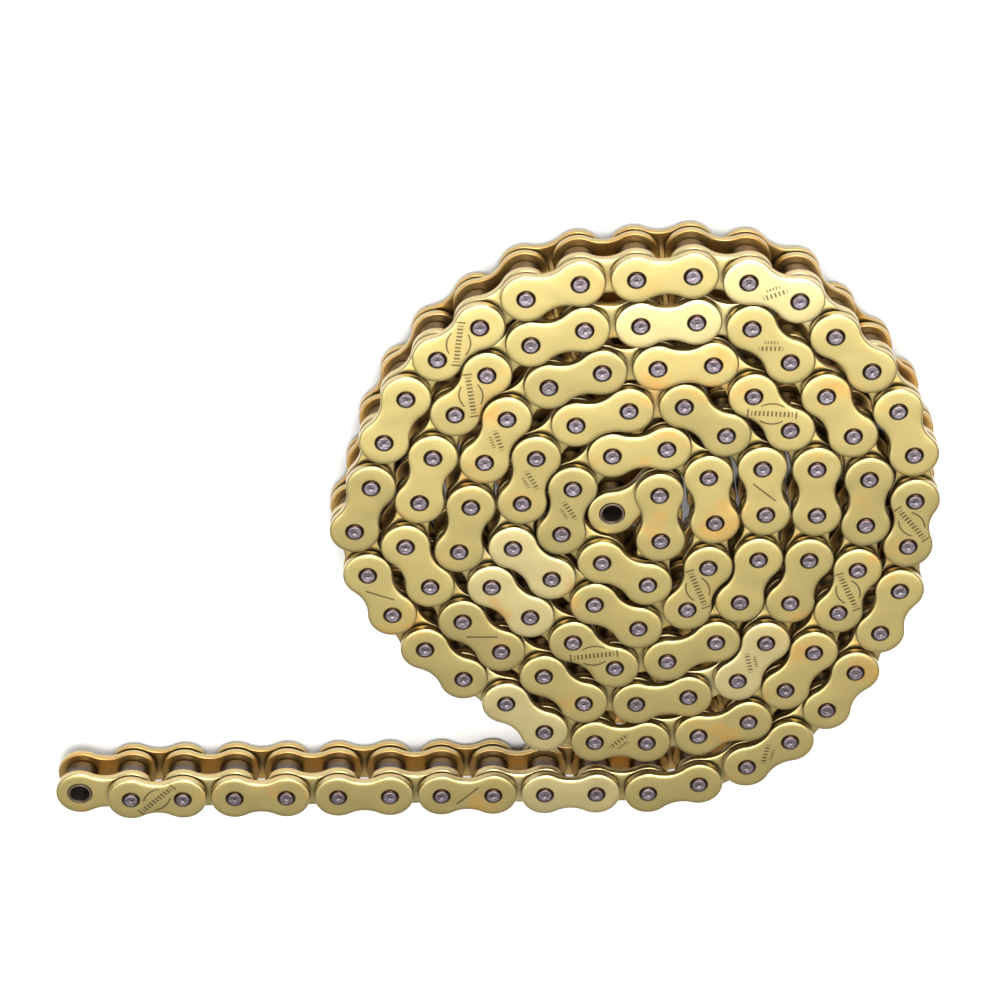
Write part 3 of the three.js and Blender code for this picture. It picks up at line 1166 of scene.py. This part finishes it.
class CHAIN_OT_bushes(bpy.types.Operator):
    """Make the bushes of the inner links"""

    bl_idname = "chain.bushes"
    bl_label = "Bushes"

    def execute(self, context):
        sizes = context.scene.chain_sizes
        layout = ChainLayout(sizes)
        finish = finish_of("oiled_bush_steel", bush_steel)
        both = joined([bush_shape(sizes, x) for x in (0, sizes.pitch)])
        for name, links, body, nodes in link_groups():
            places = [layout.place(index) for index in links if is_inner(index)]
            if places:
                make_piece(f"{name}_bushes", both, places, finish, body, nodes)
        place = layout.place(LINK_COUNT - 1)
        for end, x in ((1, 0), (2, sizes.pitch)):
            make_piece(
                f"end_link_1_bush_{end}", joined([bush_shape(sizes, x)]), [place],
                finish, "tail_link_1", [f"tail_link_1_bush_{end}"],
            )
        return {"FINISHED"}


class CHAIN_OT_rollers(bpy.types.Operator):
    """Make the rollers, one round each bush"""

    bl_idname = "chain.rollers"
    bl_label = "Rollers"

    def execute(self, context):
        sizes = context.scene.chain_sizes
        layout = ChainLayout(sizes)
        finish = finish_of("turned_roller_steel", roller_steel)
        single = {end: joined([roller_shape(sizes, x)]) for end, x in ((1, 0), (2, sizes.pitch))}
        both = joined([roller_shape(sizes, x) for x in (0, sizes.pitch)])
        for name, links, body, nodes in link_groups():
            places = [layout.place(index) for index in links if is_inner(index)]
            if name.startswith("coil_stretch"):
                make_piece(f"{name}_rollers", both, places, finish, body, nodes)
        loose = {"core_link": 0}
        for number in range(TAIL_LINKS - 1, 0, -2):
            loose[f"tail_link_{number}"] = LINK_COUNT - number
        for name, index in loose.items():
            for end in (1, 2):
                node = f"{name}_roller_{end}"
                make_piece(
                    f"{name}_turned_roller_{end}", single[end], [layout.place(index)],
                    finish, node, [node],
                )
        return {"FINISHED"}


class CHAIN_OT_seals(bpy.types.Operator):
    """Make the sealing rings between inner and outer plates"""

    bl_idname = "chain.seals"
    bl_label = "Seals"

    def execute(self, context):
        sizes = context.scene.chain_sizes
        layout = ChainLayout(sizes)
        finish = finish_of("greased_seal_rubber", seal_rubber)
        sides = {side: f"tail_link_2_seal_1_{side}" for side in ("low", "high")}
        both = joined([
            seal_shape(sizes, x, node) for x in (0, sizes.pitch) for node in sides.values()
        ])
        for name, links, body, nodes in link_groups():
            places = [layout.place(index) for index in links if not is_inner(index)]
            if places:
                make_piece(f"{name}_seals", both, places, finish, body, nodes)
        place = layout.place(LINK_COUNT - 2)
        for end, x in ((1, 0), (2, sizes.pitch)):
            for side, node in sides.items():
                make_piece(
                    f"end_link_2_seal_{end}_{side}", joined([seal_shape(sizes, x, node)]), [place],
                    finish, "tail_link_2", [f"tail_link_2_seal_{end}_{side}"],
                )
        return {"FINISHED"}


def add_lamp(name, power, size, place, aim):
    """A broad square lamp that faces a point."""
    lamp = bpy.data.lights.new(name, "AREA")
    lamp.energy = power
    lamp.size = size
    holder = bpy.data.objects.new(name, lamp)
    holder.location = place
    holder.rotation_euler = (Vector(aim) - Vector(place)).to_track_quat("-Z", "Y").to_euler()
    holder.visible_camera = False
    bpy.context.scene.collection.objects.link(holder)


class CHAIN_OT_stage(bpy.types.Operator):
    """Make the floor, the lamps and the camera"""

    bl_idname = "chain.stage"
    bl_label = "Stage"

    def execute(self, context):
        studio = context.scene.chain_studio
        self.make_floor(studio)
        self.make_light(context.scene, studio)
        self.make_camera(context.scene, studio)
        context.scene.view_settings.view_transform = "Standard"
        return {"FINISHED"}

    def make_floor(self, studio):
        shape = bmesh.new()
        bmesh.ops.create_grid(
            shape, x_segments=FLOOR_CELLS, y_segments=FLOOR_CELLS, size=studio.floor_size / 2,
        )
        mesh = bpy.data.meshes.new("studio_floor")
        shape.to_mesh(mesh)
        shape.free()
        mesh.materials.append(floor_paper(studio))
        floor = bpy.data.objects.new("studio_floor", mesh)
        floor.location.z = CAD_BOX[0].z - FLOOR_GAP
        bpy.context.scene.collection.objects.link(floor)

    def make_light(self, scene, studio):
        world = bpy.data.worlds.new("studio_room")
        world.use_nodes = True
        background = world.node_tree.nodes["Background"]
        background.inputs["Color"].default_value = ROOM_COLOUR
        background.inputs["Strength"].default_value = studio.sky_strength
        scene.world = world
        aim = (CAD_BOX[0] + CAD_BOX[1]) / 2
        add_lamp("overhead_lamp", studio.top_lamp_power, TOP_LAMP_SIZE, TOP_LAMP_PLACE, aim)
        add_lamp("camera_side_lamp", studio.side_lamp_power, SIDE_LAMP_SIZE, SIDE_LAMP_PLACE, aim)

    def make_camera(self, scene, studio):
        azimuth, elevation = studio.camera_azimuth, studio.camera_elevation
        back = Vector((
            math.sin(azimuth) * math.cos(elevation),
            -math.cos(azimuth) * math.cos(elevation),
            math.sin(elevation),
        ))
        camera = bpy.data.cameras.new("studio_camera")
        camera.lens = studio.camera_lens
        camera.clip_start, camera.clip_end = CLIP_START, CLIP_END
        holder = bpy.data.objects.new("studio_camera", camera)
        turn = (-back).to_track_quat("-Z", "Y").to_matrix().to_4x4()
        roll = Matrix.Rotation(studio.camera_roll, 4, "Z")
        place = Vector(studio.camera_aim) + back * studio.camera_distance
        holder.matrix_world = Matrix.Translation(place) @ turn @ roll
        scene.collection.objects.link(holder)
        scene.camera = holder


PIECE_OPERATORS = (
    CHAIN_OT_plates,
    CHAIN_OT_pins,
    CHAIN_OT_bushes,
    CHAIN_OT_rollers,
    CHAIN_OT_seals,
    CHAIN_OT_stage,
)


class CHAIN_PT_panel(bpy.types.Panel):
    """Lists the chain's pieces and settings"""

    bl_idname = "CHAIN_PT_panel"
    bl_label = "Drive Chain"
    bl_space_type = "VIEW_3D"
    bl_region_type = "UI"
    bl_category = "Drive Chain"

    def draw(self, context):
        for group in ("chain_sizes", "chain_finishes", "chain_studio"):
            box = self.layout.box()
            settings = getattr(context.scene, group)
            for name in settings.__annotations__:
                box.prop(settings, name)
        for operator in PIECE_OPERATORS:
            self.layout.operator(operator.bl_idname)


CLASSES = (ChainSizes, ChainFinishes, ChainStudio, *PIECE_OPERATORS, CHAIN_PT_panel)


def register():
    for each in CLASSES:
        bpy.utils.register_class(each)
    bpy.types.Scene.chain_sizes = PointerProperty(type=ChainSizes)
    bpy.types.Scene.chain_finishes = PointerProperty(type=ChainFinishes)
    bpy.types.Scene.chain_studio = PointerProperty(type=ChainStudio)


def unregister():
    for name in ("chain_sizes", "chain_finishes", "chain_studio"):
        delattr(bpy.types.Scene, name)
    for each in reversed(CLASSES):
        bpy.utils.unregister_class(each)


def main():
    """Registers the classes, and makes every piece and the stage."""
    register()
    bpy.ops.chain.stage()
    bpy.ops.chain.plates()
    bpy.ops.chain.pins()
    bpy.ops.chain.bushes()
    bpy.ops.chain.rollers()
    bpy.ops.chain.seals()


if __name__ == "__main__":
    main()
